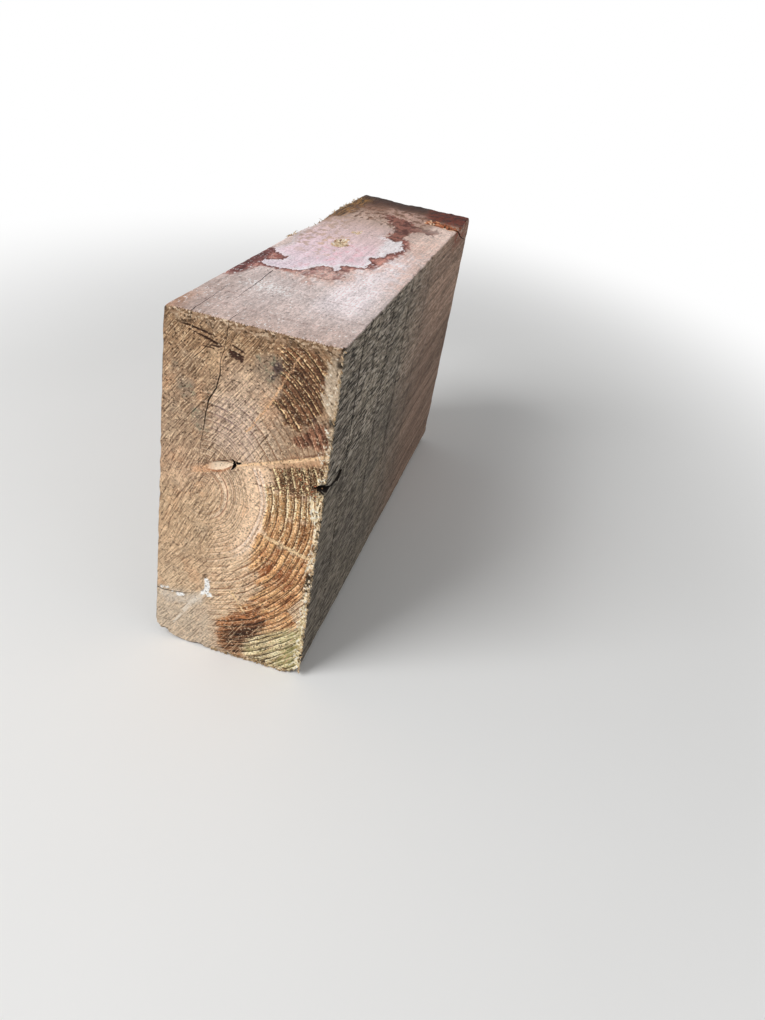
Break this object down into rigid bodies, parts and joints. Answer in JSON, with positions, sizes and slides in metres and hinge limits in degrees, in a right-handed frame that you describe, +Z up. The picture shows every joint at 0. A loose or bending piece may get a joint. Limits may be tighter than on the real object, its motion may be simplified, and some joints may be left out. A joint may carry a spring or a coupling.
{
  "type": "timber beam",
  "caption": "Short length of old squared timber: weathered cross-cut end with growth rings, drying checks and worn arrises, standing on its narrow face.",
  "frame": {"origin": "middle of the underside", "axes": "+Z up across the deep side, +Y along the beam towards its plain far end, +X across its narrow width"},
  "size_m": [0.14, 0.53, 0.31],
  "materials": {
    "timber": "rough sawn and weathered"
  },
  "bodies": {
    "root": {"timber_beam": "timber"}
  },
  "joints": []
}
